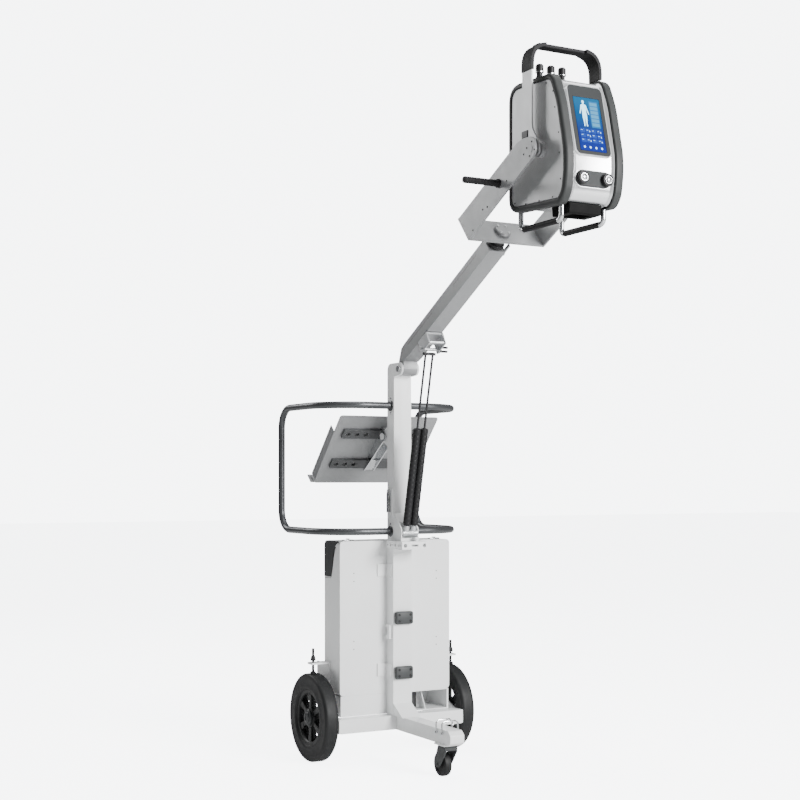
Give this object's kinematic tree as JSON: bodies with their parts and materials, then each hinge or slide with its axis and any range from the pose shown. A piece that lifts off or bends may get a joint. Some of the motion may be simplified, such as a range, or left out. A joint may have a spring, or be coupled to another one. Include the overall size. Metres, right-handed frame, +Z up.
{
  "type": "intraoral xray unit",
  "caption": "Mobile X-ray stand: X-ray head with screen in a swivelling yoke on a gas-sprung boom, on a wheeled column with detector box, push handles and laptop tray.",
  "frame": {"origin": "middle of the bounding box, on the floor", "axes": "+Z up; the boom and the front leg point to -Y, the push handles to +Y; the wheel axle lies along X"},
  "size_m": [0.549, 1.4214, 2.039],
  "materials": {
    "white_enamel": "satin white enamel",
    "silver_enamel": "satin silver enamel",
    "head_panel": "satin grey paint",
    "silver_cover": "gloss silver",
    "bumper": "fine matt",
    "black_plastic": "matt black",
    "black_grip": "soft matt black",
    "grey_plastic": "fine matt grey",
    "handle_tube": "dark grey powder coat",
    "tray_sheet": "satin grey anodised",
    "bracket_paint": "dark grey paint",
    "bright_steel": "polished",
    "satin_steel": "satin",
    "tyre_rubber": "matt",
    "screen_glass": "lit display behind clear gloss",
    "detector_shell": "matt",
    "raw_iron": "painted casting"
  },
  "bodies": {
    "base": {"axle_beam": "white_enamel", "front_leg": "white_enamel", "lower_column": "white_enamel", "clamp_block_upper": "grey_plastic", "clamp_block_lower": "grey_plastic", "column_joint_bracket": "white_enamel", "detector_box": "white_enamel", "box_grip_cover": "grey_plastic", "flat_panel_detector": "detector_shell", "base_housing": "white_enamel", "counterweight": "raw_iron", "upper_column": "white_enamel", "boom_pivot_bolt": "bright_steel", "push_handle_left": "handle_tube", "push_handle_right": "handle_tube"},
    "wheel_left": {"wheel_rim_left": "black_plastic", "tyre_left": "tyre_rubber"},
    "wheel_right": {"wheel_rim_right": "black_plastic", "tyre_right": "tyre_rubber"},
    "caster_swivel": {"caster_fork": "grey_plastic"},
    "caster_roller": {"caster_wheel": "tyre_rubber"},
    "bail_front": {"foot_bail_front": "bright_steel"},
    "bail_rear": {"foot_bail_rear": "bright_steel"},
    "brake_left": {"brake_plunger_left": "black_plastic"},
    "brake_right": {"brake_plunger_right": "black_plastic"},
    "latch_left": {"detector_latch_left": "bright_steel"},
    "latch_right": {"detector_latch_right": "bright_steel"},
    "mast_latch": {"column_latch": "bright_steel"},
    "tray": {"tray_plate": "tray_sheet", "tray_bracket": "bracket_paint"},
    "boom_arm": {"boom": "silver_enamel", "spring_clevis": "satin_steel", "swivel_collar": "black_plastic"},
    "pin_lever": {"clevis_lever": "black_plastic"},
    "swivel_lever": {"swivel_clamp_lever": "satin_steel"},
    "spring_cylinders": {"spring_cover_left": "black_plastic", "spring_cover_right": "black_plastic", "spring_foot": "satin_steel"},
    "spring_stems": {"spring_rods": "bright_steel"},
    "yoke_frame": {"yoke": "silver_enamel", "yoke_grip": "black_grip"},
    "head": {"head_shell": "silver_cover", "edge_bumper_left": "bumper", "edge_bumper_right": "bumper", "side_panel_left": "head_panel", "side_panel_right": "head_panel", "xray_tube_housing": "raw_iron", "battery_pack": "black_plastic", "collimator": "black_plastic", "guard_handle_left": "bright_steel", "guard_handle_right": "bright_steel", "connectors": "black_plastic", "screen_bezel": "bumper", "touch_screen": "screen_glass", "knob_plate": "bumper"},
    "carry_handle": {"handle_strap_left": "satin_steel", "handle_strap_right": "satin_steel", "handle_grip": "black_grip"},
    "button_left": {"exposure_button_left": "black_grip"},
    "button_right": {"exposure_button_right": "black_grip"}
  },
  "joints": [
    {"name": "wheel_left_spin", "type": "hinge", "parent": "base", "child": "wheel_left", "pos_m": [-0.25, 0.46475, 0.14], "axis": [1, 0, 0], "continuous": true},
    {"name": "wheel_right_spin", "type": "hinge", "parent": "base", "child": "wheel_right", "pos_m": [0.25, 0.46475, 0.14], "axis": [1, 0, 0], "continuous": true},
    {"name": "caster_turn", "type": "hinge", "parent": "base", "child": "caster_swivel", "pos_m": [0, 0.04175, 0.1], "axis": [0, 0, 1], "continuous": true},
    {"name": "caster_spin", "type": "hinge", "parent": "caster_swivel", "child": "caster_roller", "pos_m": [0, 0.07175, 0.0375], "axis": [1, 0, 0], "continuous": true},
    {"name": "bail_front_fold", "type": "hinge", "parent": "base", "child": "bail_front", "pos_m": [0, 0.02975, 0.138], "axis": [1, 0, 0], "range_deg": [0, 60]},
    {"name": "bail_rear_fold", "type": "hinge", "parent": "base", "child": "bail_rear", "pos_m": [0, 0.06375, 0.138], "axis": [1, 0, 0], "range_deg": [-60, 0]},
    {"name": "brake_left_lift", "type": "slide", "parent": "base", "child": "brake_left", "axis": [0, 0, 1], "range_m": [0, 0.015]},
    {"name": "brake_right_lift", "type": "slide", "parent": "base", "child": "brake_right", "axis": [0, 0, 1], "range_m": [0, 0.015]},
    {"name": "latch_left_turn", "type": "hinge", "parent": "base", "child": "latch_left", "pos_m": [-0.157, 0.40175, 0.704], "axis": [0, 0, 1], "range_deg": [0, 90]},
    {"name": "latch_right_turn", "type": "hinge", "parent": "base", "child": "latch_right", "pos_m": [0.157, 0.40175, 0.704], "axis": [0, 0, 1], "range_deg": [0, 90]},
    {"name": "mast_latch_swing", "type": "hinge", "parent": "base", "child": "mast_latch", "pos_m": [-0.042, 0.34675, 0.794], "axis": [0, -1, 0], "range_deg": [0, 60]},
    {"name": "tray_tilt", "type": "hinge", "parent": "base", "child": "tray", "pos_m": [0, 0.42075, 1.036], "axis": [1, 0, 0], "range_deg": [-20, 30]},
    {"name": "boom_lift", "type": "hinge", "parent": "base", "child": "boom_arm", "pos_m": [0, 0.29275, 1.246], "axis": [1, 0, 0], "range_deg": [-12, 25]},
    {"name": "pin_lever_turn", "type": "hinge", "parent": "boom_arm", "child": "pin_lever", "pos_m": [0.033, 0.15175, 1.297], "axis": [1, 0, 0], "range_deg": [0, 40]},
    {"name": "swivel_lever_turn", "type": "hinge", "parent": "boom_arm", "child": "swivel_lever", "pos_m": [0.034, -0.20471, 1.54757], "axis": [1, 0, 0], "range_deg": [0, 60]},
    {"name": "spring_tilt", "type": "hinge", "parent": "base", "child": "spring_cylinders", "pos_m": [0, 0.28175, 0.728], "axis": [1, 0, 0], "range_deg": [-3, 4]},
    {"name": "spring_stroke", "type": "slide", "parent": "spring_cylinders", "child": "spring_stems", "axis": [0, -0.2227, 0.9749], "range_m": [-0.058, 0.028]},
    {"name": "yoke_turn", "type": "hinge", "parent": "boom_arm", "child": "yoke_frame", "pos_m": [0, -0.25584, 1.59266], "axis": [0, -0.7672, 0.6414], "range_deg": [-90, 90]},
    {"name": "head_tilt", "type": "hinge", "parent": "yoke_frame", "child": "head", "pos_m": [0, -0.59405, 1.7505], "axis": [1, 0, 0], "range_deg": [-60, 40]},
    {"name": "handle_swing", "type": "hinge", "parent": "head", "child": "carry_handle", "pos_m": [0, -0.59405, 1.7505], "axis": [1, 0, 0], "range_deg": [-8, 75]},
    {"name": "button_left_press", "type": "slide", "parent": "head", "child": "button_left", "axis": [0, 1, 0], "range_m": [0, 0.002], "stiffness_N_per_m": 400},
    {"name": "button_right_press", "type": "slide", "parent": "head", "child": "button_right", "axis": [0, 1, 0], "range_m": [0, 0.002], "stiffness_N_per_m": 400}
  ],
  "couplings": [
    {"joint": "spring_tilt", "follows": "boom_lift", "ratio": 0.12},
    {"joint": "spring_stroke", "follows": "boom_lift", "m_per_rad": -0.13}
  ]
}
